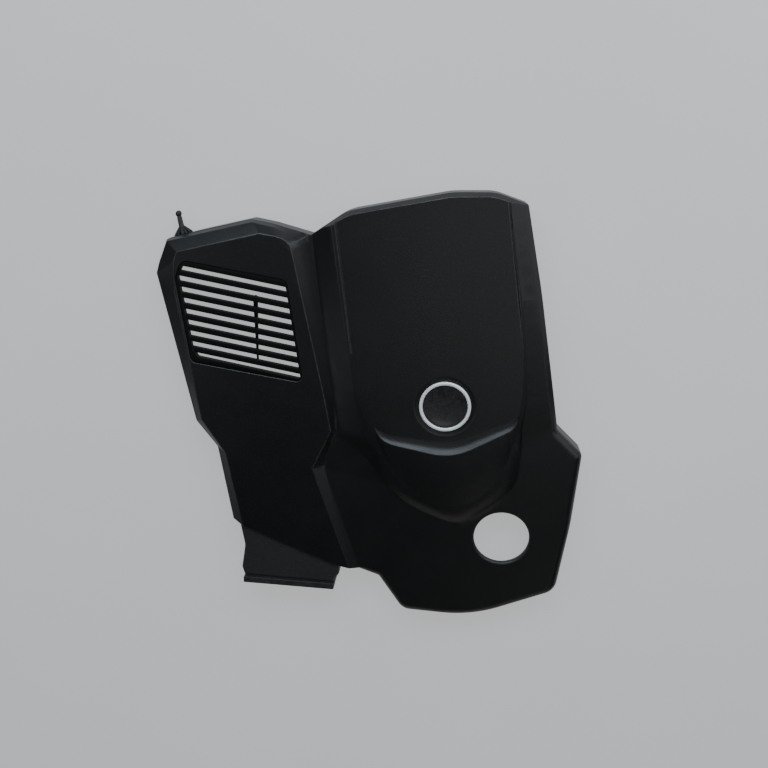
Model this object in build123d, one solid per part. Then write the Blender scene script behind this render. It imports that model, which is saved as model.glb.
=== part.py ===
from build123d import *
import copy
import os
from math import atan2, cos, degrees, hypot, radians, sin, tan

# Engine cover, in millimetres. It is drawn from the badge's centre: X to the right, Y to the rear of the
# engine, Z up from the rim that it rests on. The last section moves it to the centre of its own footprint.

# Driving dimensions: levels of the moulded shell
WALL = 3.0
FACE_Z = 52.0
BASE_DROP = 10.0
VALLEY_DROP = 22.0
FLANK_DROP = 26.0
RIM_DROP = 24.0
RIM_FACET_DROP = 12.0
RIM_FACET_WIDTH = 4.0
SIDE_DROP = 11.0
BASE_EDGE = 12.0
TOP_EDGE_WIDTH = 5.0
OVERREACH = 1.0
EDGE_FACETS = 6
FLANK_FACETS = 5
TONGUE_CORNER = 1.0

# Outline of the shell, seen from above, as x, y and corner radius, clockwise from the valley's rear end
NOTCH = (-158.0, 257.5, 2.0)
RIGHT_EDGE = [
    (-103.0, 284.5, 60.0),
    (39.5, 292.0, 120.0),
    (96.5, 285.0, 60.0),
    (137.0, 264.5, 5.0),
    (146.0, 147.0, 600.0),
    (155.0, -56.0, 12.0),
    (187.5, -97.0, 10.0),
    (165.0, -205.5, 400.0),
    (134.5, -316.0, 26.0),
    (3.5, -351.5, 200.0),
    (-102.0, -331.5, 24.0),
    (-132.0, -270.0, 8.0),
]
SEAM_RIGHT = (-189.0, -241.0, 0.5)
SEAM_LEFT = (-340.5, -152.0, 0.5)
LEFT_EDGE = [
    (-343.2, -33.2, 15.0),
    (-367.5, 9.8, 15.0),
    (-381.5, 231.5, 8.0),
    (-361.5, 275.8, 10.0),
    (-308.0, 281.6, 25.0),
    (-237.0, 288.2, 12.0),
    (-206.5, 278.0, 30.0),
]
OUTLINE = [NOTCH] + RIGHT_EDGE + [SEAM_RIGHT, SEAM_LEFT] + LEFT_EDGE

# Left module: its flat face, and beside each corner where the chamfer meets the skirt or the valley
LEFT_FACE = [
    (-343.0, 258.0),
    (-297.0, 262.5),
    (-224.0, 269.5),
    (-203.0, 263.5),
    (-195.0, 260.0),
    (-189.0, 255.5),
    (-185.3, 249.0),
    (-183.6, 240.0),
    (-170.5, 40.0),
    (-168.0, -22.0),
    (-204.0, -77.0),
    (-172.0, -246.0),
    (-323.0, -190.0),
    (-329.0, -41.0),
    (-355.0, 14.0),
    (-357.0, 205.0),
    (-350.0, 246.0),
]
LEFT_RIM = [
    (-361.5, 275.8),
    (-308.0, 281.6),
    (-237.0, 288.2),
    (-206.5, 278.0),
]
LEFT_VALLEY_RUN = [
    (0.54, 0.34),
    (0.79, 0.33),
    (1.03, 0.36),
    (1.0, 0.23),
    (0.85, -0.3),
    (0.6, -0.66),
    (1.57, 0.1),
    (1.55, -0.5),
]
LEFT_SIDE = [
    (-341.7, -183.4),
    (-343.2, -33.2),
    (-367.5, 9.8),
    (-380.0, 207.0),
    (-381.5, 231.5),
]

# Right module: the raised tongue of panel and chin, at the face and at its foot on the lower deck
TONGUE_FACE = [
    (112.0, 268.0),
    (115.0, 150.0),
    (112.0, 40.0),
    (105.0, -8.0),
    (97.5, -38.0),
    (86.0, -80.0),
    (68.0, -118.0),
    (36.0, -147.0),
    (3.0, -157.0),
    (-32.0, -146.0),
    (-70.0, -115.0),
    (-98.0, -60.0),
    (-114.0, -20.0),
    (-120.0, 40.0),
    (-120.0, 150.0),
    (-118.0, 268.0),
]
TONGUE_FOOT = [
    (121.0, 265.0),
    (123.0, 150.0),
    (122.0, 40.0),
    (116.0, -8.0),
    (107.0, -42.0),
    (101.0, -85.0),
    (86.0, -140.0),
    (45.0, -169.0),
    (1.0, -188.0),
    (-41.0, -172.0),
    (-84.0, -140.0),
    (-120.0, -80.0),
    (-136.0, -28.0),
    (-138.0, 35.0),
    (-132.0, 150.0),
    (-128.0, 268.0),
]
# How softly the tongue's edge rolls off beside each of those points: 1 is a straight slope
TONGUE_ROLL = [1.3, 1.3, 1.4, 1.6, 2.0, 2.0, 2.0, 2.0, 2.0, 2.0, 2.0, 1.8, 1.4, 1.2, 1.2, 1.2]
# Right flank, from its rear end to its front: start, change and power of the places and drops across it
FLANK_Y = (300.0, -80.0)
FLANK_INNER_X = (111.0, -5.0, 1.0)
FLANK_INNER_DROP = (0.6, 10.0, 2.6)
FLANK_OUTER_DROP = (7.5, 5.5, 8.0)
FLANK_EDGE_DROP = (11.0, 13.0, 6.0)
FLANK_EDGE_X = (135.3, 20.7, 0.7)
FLANK_LIP = 8.0
FLANK_ROOT_X = 60.0
FLANK_STEPS = 14
# Left flank, at the face, and how far it runs out for each unit of drop
PANEL_FLANK_FACE = [(-124.5, 300.0), (-127.0, 40.0), (-119.0, -33.0), (-104.0, -60.0), (-84.0, -92.0)]
PANEL_FLANK_RUN = [1.25, 2.3, 3.6, 3.2, 2.0]

# Floor of the valley: its span across, and where its ramp up to the lower deck starts and ends
VALLEY_X = (-178.0, -100.0)
VALLEY_Y = (260.0, -33.0)

# Lower deck of the right module: what of the outline it fills, hidden under the other forms inside
DECK_REGION = [
    (60.0, 400.0),
    (400.0, 400.0),
    (400.0, -450.0),
    (-131.5, -450.0),
    (-189.0, -241.0),
    (-200.0, -150.0),
    (-178.0, -33.0),
    (-138.0, -33.0),
    (-90.0, 60.0),
    (60.0, 200.0),
]

# Chin: stations across it, as x, the soft edge, the ridge, the foot, and the rise
CHIN_STATIONS = [
    (-104.0, -20.0, -24.0, -31.0, 0.3),
    (-97.0, -28.0, -37.0, -57.0, 3.2),
    (-85.0, -33.5, -46.5, -88.0, 5.2),
    (-50.0, -42.0, -58.5, -132.0, 7.2),
    (-12.0, -51.0, -69.6, -153.5, 8.4),
    (12.0, -51.0, -69.6, -153.5, 8.4),
    (50.0, -41.0, -57.5, -130.0, 7.2),
    (85.0, -31.5, -44.5, -76.0, 5.2),
    (96.0, -26.5, -35.5, -43.0, 3.2),
    (101.0, -21.0, -25.0, -29.0, 0.3),
]
# Shares of the way from the soft edge to the ridge and from the ridge to the foot, and how hard each curve bends
CHIN_CLIMB = (0.35, 0.6, 0.8)
CHIN_FALL = (0.4, 0.72, 1.0, 1.12)
CHIN_BEND = 2.2
CHIN_ROOT = 4.0

# Openings
FILLER_CENTRE = (61.5, -217.4)
FILLER_R = 41.0
FILLER_EDGE = 2.0
COLLAR_DEPTH = 6.5
POCKET_DEPTH = 2.5
POCKET_FLARE = 23.0
GROOVE_WIDTH = 2.4
GROOVE_DEPTH = 1.4
GROOVES_X = [(111.0, 114.5), (-118.3, -122.0)]
GROOVES_Y = (292.0, 90.0)

# Slatted grille
WINDOW = [
    (-339.5, 246.6, 12.0),
    (-196.5, 202.4, 9.0),
    (-196.5, 54.5, 9.0),
    (-353.5, 101.5, 9.0),
    (-353.5, 221.5, 14.0),
]
SLOT_AREA = [
    (-339.5, 238.2, 2.0),
    (-200.0, 192.9, 2.0),
    (-200.0, 60.5, 2.0),
    (-343.0, 108.0, 2.0),
    (-348.5, 121.0, 2.0),
    (-348.5, 226.0, 2.0),
]
GRILLE_DROP = 1.5
GRILLE_DEPTH = 8.0
GRILLE_LIP = 3.0
GRILLE_LIP_THICKNESS = 2.5
SLOT_COUNT = 9
SLOT_PITCH = 15.75
SLOT_GAP = 8.4
SLOT_SLOPE = -18.0
FIRST_SLOT = (-199.0, 189.4)
STAY_HEAD = (-247.2, 180.5)
STAY_TIP = (-259.8, 88.0)
STAY_HEAD_R = 4.6
STAY_EYE_R = 1.7
STAY_ROOT_WIDTH = 6.4
STAY_TIP_WIDTH = 2.2
STAY_THICKNESS = 3.0

# Air duct
DUCT_WALL = 2.5
DUCT_FLOOR_Z = 5.0
DUCT_EDGE = 5.0
DUCT_PLAN = [
    (-194.0, -196.0, 4.0),
    (-188.5, -241.0, 6.0),
    (-190.0, -256.0, 6.0),
    (-201.5, -269.4, 1.0),
    (-338.5, -246.7, 1.0),
    (-340.5, -233.0, 12.0),
    (-329.0, -196.0, 30.0),
    (-330.0, -160.0, 12.0),
    (-312.0, -130.0, 4.0),
]
MOUTH_RIGHT = DUCT_PLAN[3]
MOUTH_LEFT = DUCT_PLAN[4]
NECK_STEP = 2.2
NECK_LENGTH = 12.0
SEAL_GROOVE = 2.0
SEAL_PROUD = 1.2
EAR_STATIONS = (0.16, 0.84)
EAR_LENGTH = 17.0
EAR_WIDTH = 16.0
EAR_THICKNESS = 3.0
SCREW_R = 2.0
SCREW_HEAD_R = 4.5
SCREW_HEAD_HEIGHT = 3.0
SCREW_LENGTH = 10.0
DRIVE_R = 1.6
DRIVE_DEPTH = 1.6
BOSS_R = 5.0

# Badge
RING_R = 36.75
POCKET_GAP = 1.55
POCKET_R = RING_R + POCKET_GAP
RING_WIDTH = 5.0
RING_HEIGHT = 3.4
BADGE_PLATE = 1.4
BADGE_DISH = 1.4
BADGE_SAG = 1.0
BADGE_PIN_R = 2.0
BADGE_PIN_CIRCLE = 20.0
BADGE_PIN_LENGTH = 7.0
BADGE_PIN_COUNT = 3

# Rubber mounts and the plug in the rear skirt
MOUNT_PLACES = {
    "mount_rear_left": (-290.0, 30.0),
    "mount_rear_right": (70.0, 236.0),
    "mount_front_left": (-300.0, -95.0),
    "mount_front_right": (-50.0, -285.0),
}
MOUNT_R = 11.0
MOUNT_FLANGE_R = 14.5
MOUNT_FLANGE = 3.0
MOUNT_LENGTH = 20.0
MOUNT_FOOT_Z = 4.0
STUD_BORE_R = 5.0
STUD_BORE_LENGTH = 13.0
SOCKET_WALL = 2.5
PLUG_X = -341.0
PLUG_Z = 14.2
PLUG_FOOT_R = 13.2
PLUG_FOOT_LENGTH = 11.0
PLUG_STEM_R = 3.6
PLUG_LENGTH = 32.5
PLUG_BALL_R = 4.4
PLUG_NECK_R = 4.5
PLUG_BARB_R = 8.0
PLUG_BARB = 3.0
PLUG_RIBS = 14
PLUG_RIB_GAP = 1.6

# Stiffening ribs on the underside
RIB_THICKNESS = 2.2
RIB_HEIGHT = 12.0
RIBS_ALONG = (-75.0, 5.0)
RIBS_ACROSS = (215.0, 130.0, -120.0)
RIB_SPAN_X = (-110.0, 110.0)
RIB_SPAN_Y = (-265.0, 280.0)

# Fits
FIT = 0.3
SLIDE = 0.2
SEAT = 0.05


def outline_face(points, z=0.0):
    """Flat face inside a closed run of corners, each with its own radius."""
    corners = [(x, y) for x, y, r in points]
    wire = FilletPolyline(*corners, radius=[r for x, y, r in points], close=True)
    return Pos(0, 0, z) * make_face(wire)


def polygon_face(points, z=0.0):
    """Flat face inside straight sides."""
    return Pos(0, 0, z) * make_face(Polyline(*points, close=True))


def prism(face, z_low, z_high):
    """Upright solid on a face drawn at z = 0."""
    return Pos(0, 0, z_low) * extrude(face, amount=z_high - z_low)


def inset(points, distance):
    """The same corners moved inwards by a distance, for a clockwise run; radii follow."""
    moved = []
    for i, (x, y, r) in enumerate(points):
        xp, yp, _ = points[i - 1]
        xn, yn, _ = points[(i + 1) % len(points)]
        before = hypot(x - xp, y - yp)
        after = hypot(xn - x, yn - y)
        ux, uy = (x - xp) / before, (y - yp) / before
        vx, vy = (xn - x) / after, (yn - y) / after
        half = 1.0 + ux * vx + uy * vy
        turn = ux * vy - uy * vx
        nx = (uy + vy) / half
        ny = -(ux + vx) / half
        radius = r + distance if turn > 0 else max(r - distance, 0.4)
        moved.append((x + nx * distance, y + ny * distance, radius))
    return moved


def rounded_block(points, z_low, z_high, edge):
    """Upright block with its upper edge rounded off in narrow facets."""
    levels = []
    for i in range(EDGE_FACETS + 1):
        turn = radians(90.0 * i / EDGE_FACETS)
        level = z_high - edge * (1.0 - sin(turn))
        levels.append(outline_face(inset(points, edge * (1.0 - cos(turn))), level))
    return prism(outline_face(points), z_low, z_high - edge) + loft(levels, ruled=True)


def beyond(start, end, drop, reach):
    """Point on the line from start through end, carried on from one depth to another."""
    scale = reach / drop
    return (start[0] + (end[0] - start[0]) * scale, start[1] + (end[1] - start[1]) * scale)


def left_module():
    """Raised block of the left module: a two-step chamfer to the rear, a low one outside, a deep one inside."""
    rear_end = len(LEFT_RIM)
    valley_end = rear_end + len(LEFT_VALLEY_RUN)
    rear = LEFT_FACE[:rear_end]
    valley = LEFT_FACE[rear_end:valley_end]
    side = LEFT_FACE[valley_end:]
    middle = []
    foot = []
    for face, rim in zip(rear, LEFT_RIM):
        length = hypot(rim[0] - face[0], rim[1] - face[1])
        share = 1.0 - RIM_FACET_WIDTH / length
        step = (face[0] + (rim[0] - face[0]) * share, face[1] + (rim[1] - face[1]) * share)
        middle.append(step)
        foot.append(beyond(step, rim, RIM_DROP - RIM_FACET_DROP, FLANK_DROP - RIM_FACET_DROP))
    for face, run in zip(valley, LEFT_VALLEY_RUN):
        middle.append((face[0] + run[0] * RIM_FACET_DROP, face[1] + run[1] * RIM_FACET_DROP))
        foot.append((face[0] + run[0] * FLANK_DROP, face[1] + run[1] * FLANK_DROP))
    for face, rim in zip(side, LEFT_SIDE):
        middle.append(beyond(face, rim, SIDE_DROP, RIM_FACET_DROP))
        foot.append(middle[-1])
    top = polygon_face(LEFT_FACE, FACE_Z)
    step = polygon_face(middle, FACE_Z - RIM_FACET_DROP)
    root = polygon_face(foot, FACE_Z - FLANK_DROP)
    return loft([root, step], ruled=True) + loft([step, top], ruled=True)


def tongue_face(points, z=0.0):
    """Face of the tongue: reaches past the rear edge, with one smooth curve round the rest."""
    rear_run = inset(OUTLINE, -OVERREACH)[1:4]
    right = points[0]
    left = points[-1]
    rear_right = (right[0], rear_run[2][1] + (right[0] - rear_run[2][0]) * -0.5)
    rear_left = (left[0], rear_run[0][1] + (left[0] - rear_run[0][0]) * 0.46)
    corners = [left, rear_left] + [(x, y) for x, y, r in rear_run] + [rear_right, right]
    radii = [TONGUE_CORNER] + [r for x, y, r in rear_run] + [TONGUE_CORNER]
    edge = FilletPolyline(*corners, radius=radii)
    curve = Spline(*points)
    return Pos(0, 0, z) * make_face(edge + curve)


def panel_tongue():
    """Panel and chin plateau, whose edge rolls off down to the lower deck."""
    low = FACE_Z - BASE_DROP
    levels = []
    for i in range(FLANK_FACETS + 1):
        depth = (1.0 - i / FLANK_FACETS) ** 2
        points = []
        for foot, face, roll in zip(TONGUE_FOOT, TONGUE_FACE, TONGUE_ROLL):
            share = 1.0 - depth ** (1.0 / roll)
            points.append((foot[0] + (face[0] - foot[0]) * share, foot[1] + (face[1] - foot[1]) * share))
        levels.append(tongue_face(points, FACE_Z - BASE_DROP * depth))
    return loft(levels, ruled=True) + prism(tongue_face(TONGUE_FOOT), 0.0, low)


def panel_flank():
    """Slope of the panel's left side, down into the valley."""
    top = PANEL_FLANK_FACE + [(FLANK_ROOT_X, PANEL_FLANK_FACE[-1][1]), (FLANK_ROOT_X, PANEL_FLANK_FACE[0][1])]
    moved = [(x - run * FLANK_DROP, y) for (x, y), run in zip(PANEL_FLANK_FACE, PANEL_FLANK_RUN)]
    root = moved + top[len(PANEL_FLANK_FACE):]
    return loft([polygon_face(root, FACE_Z - FLANK_DROP), polygon_face(top, FACE_Z)], ruled=True)


def along(form, share):
    """Value at a share of the way along the right flank."""
    start, change, power = form
    return start + change * share**power


def right_flank():
    """Slope of the panel's right side, which flattens towards the front until it lies in the lower deck."""
    sections = []
    for i in range(FLANK_STEPS + 1):
        share = i / FLANK_STEPS
        y = FLANK_Y[0] + (FLANK_Y[1] - FLANK_Y[0]) * share
        edge_x = along(FLANK_EDGE_X, share)
        inner_z = FACE_Z - along(FLANK_INNER_DROP, share)
        profile = [
            (FLANK_ROOT_X, y, 0.0),
            (FLANK_ROOT_X, y, inner_z),
            (along(FLANK_INNER_X, share), y, inner_z),
            (edge_x - FLANK_LIP, y, FACE_Z - along(FLANK_OUTER_DROP, share)),
            (edge_x, y, FACE_Z - along(FLANK_EDGE_DROP, share)),
            (edge_x, y, 0.0),
        ]
        sections.append(make_face(Polyline(*profile, close=True)))
    return loft(sections, ruled=True)


def valley_floor():
    """Floor of the valley, which ramps up towards the front until it meets the lower deck."""
    rear, front = VALLEY_Y
    slope = (VALLEY_DROP - BASE_DROP) / (rear - front)
    far_rear = rear + 60.0
    profile = [
        (VALLEY_X[0], far_rear, 0.0),
        (VALLEY_X[0], far_rear, FACE_Z - VALLEY_DROP - slope * (far_rear - rear)),
        (VALLEY_X[0], front, FACE_Z - BASE_DROP),
        (VALLEY_X[0], front, 0.0),
    ]
    return extrude(make_face(Polyline(*profile, close=True)), amount=VALLEY_X[1] - VALLEY_X[0], dir=(1, 0, 0))


def chin():
    """Raised chin: a soft slope up to a ridge that runs like a smile, then a long fall to the foot."""
    sections = []
    for x, soft, ridge, foot, rise in CHIN_STATIONS:
        profile = [(x, soft, FACE_Z - CHIN_ROOT), (x, soft, FACE_Z)]
        for share in CHIN_CLIMB:
            profile.append((x, soft + (ridge - soft) * share, FACE_Z + rise * share**CHIN_BEND))
        profile.append((x, ridge, FACE_Z + rise))
        for share in CHIN_FALL:
            profile.append((x, ridge + (foot - ridge) * share, FACE_Z + rise * (1 - share**CHIN_BEND)))
        profile.append((x, profile[-1][1], FACE_Z - CHIN_ROOT))
        sections.append(make_face(Polyline(*profile, close=True)))
    return loft(sections)


def chamfered_block(points, z_low, z_mid, z_high, width):
    """Upright block whose sides lean in above a middle level."""
    lean = loft([outline_face(points, z_mid), outline_face(inset(points, width), z_high)], ruled=True)
    return prism(outline_face(points), z_low, z_mid) + lean


def outer_form():
    """The shell's outer surface as one full solid."""
    top_z = FACE_Z + BASE_DROP + VALLEY_DROP
    deck = rounded_block(OUTLINE, 0.0, FACE_Z - BASE_DROP, BASE_EDGE)
    deck = deck & prism(polygon_face(DECK_REGION), 0.0, top_z)
    left = (left_module() + valley_floor()) & prism(outline_face(OUTLINE), 0.0, top_z)
    panel = panel_flank() + panel_tongue() + right_flank()
    panel = panel & chamfered_block(OUTLINE, 0.0, FACE_Z - BASE_DROP, FACE_Z, TOP_EDGE_WIDTH)
    floor = prism(outline_face(OUTLINE), 0.0, FACE_Z - VALLEY_DROP)
    return floor + deck + left + panel + chin()


def badge_pocket():
    """Flared round pocket that the badge sits in."""
    reach = POCKET_DEPTH + BASE_DROP
    flare = reach * tan(radians(90.0 - POCKET_FLARE))
    return Pos(0, 0, FACE_Z - POCKET_DEPTH + reach / 2) * Cone(POCKET_R, POCKET_R + flare, reach)


def panel_grooves():
    """Fine grooves along the panel's sides, which run out towards the front."""
    half = GROOVE_WIDTH / 2
    grooves = []
    for ends in GROOVES_X:
        sections = []
        for x, y, depth in zip(ends, GROOVES_Y, (GROOVE_DEPTH, GROOVE_DEPTH * 0.05)):
            wedge = [
                (x - half, y, FACE_Z + 1.0),
                (x - half, y, FACE_Z),
                (x, y, FACE_Z - depth),
                (x + half, y, FACE_Z),
                (x + half, y, FACE_Z + 1.0),
            ]
            sections.append(make_face(Polyline(*wedge, close=True)))
        grooves.append(loft(sections, ruled=True))
    return Part() + grooves


def skirt_point(x):
    """Place and outward direction of the rear skirt, on its straight run behind the left module."""
    start, end = LEFT_EDGE[3], LEFT_EDGE[4]
    slope = (end[1] - start[1]) / (end[0] - start[0])
    return (x, start[1] + (x - start[0]) * slope), degrees(atan2(slope, 1.0))


def plug_frame():
    """Frame on the rear skirt whose Z axis points out of the skirt."""
    (x, y), turn = skirt_point(PLUG_X)
    return Pos(x, y, PLUG_Z) * Rot(0, 0, turn) * Rot(-90, 0, 0)


def ear_places():
    """Screw centres on the ears behind the duct's hidden end."""
    first = Vector(*DUCT_PLAN[-1][:2])
    last = Vector(*DUCT_PLAN[0][:2])
    inward = Vector(-(last - first).Y, (last - first).X).normalized()
    places = []
    for share in EAR_STATIONS:
        places.append(first + (last - first) * share + inward * (EAR_LENGTH - EAR_WIDTH / 2))
    return places, inward


def under_skin_ribs(hollow):
    """Stiffening ribs under the right module, trimmed to the skin."""
    top = FACE_Z + BASE_DROP
    span_x = RIB_SPAN_X[1] - RIB_SPAN_X[0]
    span_y = RIB_SPAN_Y[1] - RIB_SPAN_Y[0]
    mid_x = sum(RIB_SPAN_X) / 2
    mid_y = sum(RIB_SPAN_Y) / 2
    ribs = []
    for x in RIBS_ALONG:
        ribs.append(Pos(x, mid_y, top / 2) * Box(RIB_THICKNESS, span_y, top))
    for y in RIBS_ACROSS:
        ribs.append(Pos(mid_x, y, top / 2) * Box(span_x, RIB_THICKNESS, top))
    web = Part() + ribs
    return (web & hollow) - Pos(0, 0, -RIB_HEIGHT) * hollow


def upright(radius, z_low, z_high):
    """Upright cylinder between two levels."""
    return prism(Circle(radius), z_low, z_high)


def cover_shell(form):
    """Hollow moulding with its openings, sockets, bosses and ribs."""
    top = FACE_Z + BASE_DROP
    inner_plan = outline_face(inset(OUTLINE, WALL))
    pocketed = form - badge_pocket()
    core = (Pos(0, 0, -WALL) * pocketed) & prism(inner_plan, -WALL, top)
    hollow = core & prism(inner_plan, 0.0, top)
    shell = pocketed - panel_grooves() - core + under_skin_ribs(hollow)
    for x, y in MOUNT_PLACES.values():
        at = Pos(x, y)
        socket = at * upright(MOUNT_R + SLIDE + SOCKET_WALL, MOUNT_FOOT_Z + MOUNT_FLANGE, top)
        bore = at * upright(MOUNT_R + SLIDE, 0.0, top)
        shell += (socket & hollow) - bore
    collar_top = FACE_Z - BASE_DROP - WALL / 2
    at_filler = Pos(*FILLER_CENTRE)
    shell += at_filler * upright(FILLER_R + WALL, FACE_Z - BASE_DROP - COLLAR_DEPTH, collar_top)
    shell -= at_filler * upright(FILLER_R, 0.0, top)
    flare = Cone(FILLER_R, FILLER_R + 2 * FILLER_EDGE, 2 * FILLER_EDGE)
    shell -= at_filler * Pos(0, 0, FACE_Z - BASE_DROP) * flare
    ear_top = DUCT_FLOOR_Z + EAR_THICKNESS
    for place in ear_places()[0]:
        at = Pos(place.X, place.Y)
        shell += at * upright(BOSS_R, ear_top, FACE_Z - WALL / 2)
        shell -= at * upright(SCREW_R, ear_top, ear_top + SCREW_LENGTH)
    for x, y in badge_pin_places():
        shell -= Pos(x, y) * upright(BADGE_PIN_R + SLIDE, FACE_Z - BASE_DROP, FACE_Z)
    shell -= prism(outline_face(WINDOW), FACE_Z - BASE_DROP, top)
    shell -= plug_frame() * Cylinder(PLUG_NECK_R + SLIDE, WALL * 4)
    shell -= duct_passage()
    return shell


def duct_passage():
    """Room in the skirt and under the skin for the duct."""
    room = inset(DUCT_PLAN, -FIT)
    return prism(outline_face(room), -1.0, FACE_Z - WALL)


def badge_pin_places():
    """Centres of the badge's locating pins."""
    places = []
    for i in range(BADGE_PIN_COUNT):
        turn = radians(90.0 + i * 360.0 / BADGE_PIN_COUNT)
        places.append((BADGE_PIN_CIRCLE * cos(turn), BADGE_PIN_CIRCLE * sin(turn)))
    return places


def vent_grille():
    """Slatted insert: a frame in the window, a lip under the skin and slats between the slots."""
    top = FACE_Z - GRILLE_DROP
    frame = prism(outline_face(inset(WINDOW, FIT)), top - GRILLE_DEPTH, top)
    lip_top = FACE_Z - WALL - FIT
    lip = prism(outline_face(inset(WINDOW, -GRILLE_LIP)), lip_top - GRILLE_LIP_THICKNESS, lip_top)
    lip = lip & (Pos(0, 0, -WALL - FIT) * left_module())
    area = outline_face(SLOT_AREA)
    slope = tan(radians(SLOT_SLOPE))
    reach = 180.0
    slots = Sketch()
    for i in range(SLOT_COUNT):
        y = FIRST_SLOT[1] - i * SLOT_PITCH
        band = [
            (FIRST_SLOT[0] + reach, y + slope * reach + SLOT_GAP / 2),
            (FIRST_SLOT[0] + reach, y + slope * reach - SLOT_GAP / 2),
            (FIRST_SLOT[0] - reach, y - slope * reach - SLOT_GAP / 2),
            (FIRST_SLOT[0] - reach, y - slope * reach + SLOT_GAP / 2),
        ]
        slots += polygon_face(band) & area
    return frame + lip - prism(slots, top - GRILLE_DEPTH - 1.0, top + 1.0)


def grille_stay():
    """Tapering stay with an eye at its head, across the backs of the slats."""
    head = Vector(*STAY_HEAD)
    tip = Vector(*STAY_TIP)
    down = (tip - head).normalized()
    across = Vector(-down.Y, down.X)
    root = STAY_ROOT_WIDTH / 2
    end = STAY_TIP_WIDTH / 2
    corners = [head + across * root, tip + across * end, tip - across * end, head - across * root]
    plan = polygon_face([(c.X, c.Y) for c in corners]) + Pos(head.X, head.Y) * Circle(STAY_HEAD_R)
    plan -= Pos(head.X, head.Y) * Circle(STAY_EYE_R)
    top = FACE_Z - GRILLE_DROP - GRILLE_DEPTH
    return prism(plan, top - STAY_THICKNESS, top)


def mouth_frame():
    """Frame at the middle of the duct's mouth, with its Y axis pointing back into the duct."""
    left = Vector(*MOUTH_LEFT[:2])
    run = Vector(*MOUTH_RIGHT[:2]) - left
    middle = left + run * 0.5
    mid_z = (DUCT_FLOOR_Z + duct_top()) / 2
    return Pos(middle.X, middle.Y, mid_z) * Rot(0, 0, degrees(atan2(run.Y, run.X)))


def duct_top():
    """Level of the duct's upper side, just under the shell's skin."""
    return FACE_Z - WALL - FIT


def mouth_size():
    """Width and height of the duct's outside at its mouth."""
    run = Vector(*MOUTH_RIGHT[:2]) - Vector(*MOUTH_LEFT[:2])
    return run.length, duct_top() - DUCT_FLOOR_Z


def air_duct():
    """Flat funnel, open at both ends, with a neck for its seal and ears for its screws."""
    width, height = mouth_size()
    neck_width = width - 2 * NECK_STEP
    neck_height = height - 2 * NECK_STEP
    body = rounded_block(DUCT_PLAN, DUCT_FLOOR_Z, duct_top(), DUCT_EDGE)
    neck_at = mouth_frame() * Pos(0, -NECK_LENGTH / 2 + DUCT_EDGE / 2, 0)
    body += neck_at * Box(neck_width, NECK_LENGTH + DUCT_EDGE, neck_height)
    places, inward = ear_places()
    for place in places:
        back = place - inward * EAR_LENGTH
        strip = SlotCenterToCenter(EAR_LENGTH, EAR_WIDTH)
        turn = degrees(atan2(inward.Y, inward.X))
        ear = Pos((place.X + back.X) / 2, (place.Y + back.Y) / 2) * Rot(0, 0, turn) * strip
        body += prism(ear, DUCT_FLOOR_Z, DUCT_FLOOR_Z + EAR_THICKNESS)
    low = DUCT_FLOOR_Z + EAR_THICKNESS
    cavity = inset(DUCT_PLAN, DUCT_WALL)
    reach = inward * (DUCT_WALL + EAR_LENGTH)
    for end in (0, -1):
        x, y, r = cavity[end]
        cavity[end] = (x + reach.X, y + reach.Y, r)
    body -= prism(outline_face(cavity), low, duct_top() - DUCT_WALL)
    body -= mouth_frame() * Box(neck_width - 2 * DUCT_WALL, NECK_LENGTH * 4, neck_height - 2 * DUCT_WALL)
    for place in places:
        body -= Pos(place.X, place.Y) * upright(SCREW_R + FIT, 0.0, low)
    return body


def duct_seal():
    """Rubber lip round the duct's neck."""
    width, height = mouth_size()
    depth = NECK_LENGTH - SEAL_GROOVE
    lip = Box(width + 2 * SEAL_PROUD, depth, height + 2 * SEAL_PROUD)
    lip = fillet(lip.edges(), SEAL_PROUD)
    neck = Box(width - 2 * (NECK_STEP - SLIDE), depth * 2, height - 2 * (NECK_STEP - SLIDE))
    return mouth_frame() * Pos(0, -SEAL_GROOVE - depth / 2, 0) * (lip - neck)


def duct_screws():
    """Screws up through the duct's ears into the shell's bosses."""
    ear_top = DUCT_FLOOR_Z + EAR_THICKNESS
    screws = []
    head_top = DUCT_FLOOR_Z - SEAT
    head_low = head_top - SCREW_HEAD_HEIGHT
    for place in ear_places()[0]:
        head = upright(SCREW_HEAD_R, head_low, head_top)
        head = fillet(head.edges().sort_by(Axis.Z)[0], SCREW_HEAD_HEIGHT / 2)
        screw = upright(SCREW_R - SLIDE / 2, head_low + DRIVE_DEPTH, ear_top + SCREW_LENGTH - FIT) + head
        screw -= prism(RegularPolygon(DRIVE_R, 6), head_low, head_low + DRIVE_DEPTH)
        screws.append(Pos(place.X, place.Y) * screw)
    return Part() + screws


def badge_floor():
    """Level of the pocket's floor."""
    return FACE_Z - POCKET_DEPTH


def badge_disc():
    """Plain dished disc on a back plate, with locating pins through the skin."""
    inner = RING_R - RING_WIDTH - SLIDE
    plate = badge_floor() + BADGE_PLATE
    rim = plate + BADGE_DISH
    bowl_r = (inner**2 + BADGE_SAG**2) / (2 * BADGE_SAG)
    disc = upright(RING_R, badge_floor(), plate) + upright(inner, plate, rim)
    disc -= Pos(0, 0, rim - BADGE_SAG + bowl_r) * Sphere(bowl_r)
    for x, y in badge_pin_places():
        disc += Pos(x, y) * upright(BADGE_PIN_R, badge_floor() - BADGE_PIN_LENGTH, badge_floor())
    return disc


def badge_ring():
    """Bright ring with a rounded crown, on the disc's back plate."""
    low = badge_floor() + BADGE_PLATE
    section = Rectangle(RING_WIDTH, RING_HEIGHT, align=(Align.MAX, Align.MIN))
    section = fillet(section.vertices().group_by(Axis.Y)[-1], RING_WIDTH * 0.38)
    return revolve(Plane.XZ * Pos(RING_R, low) * section, Axis.Z)


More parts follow.
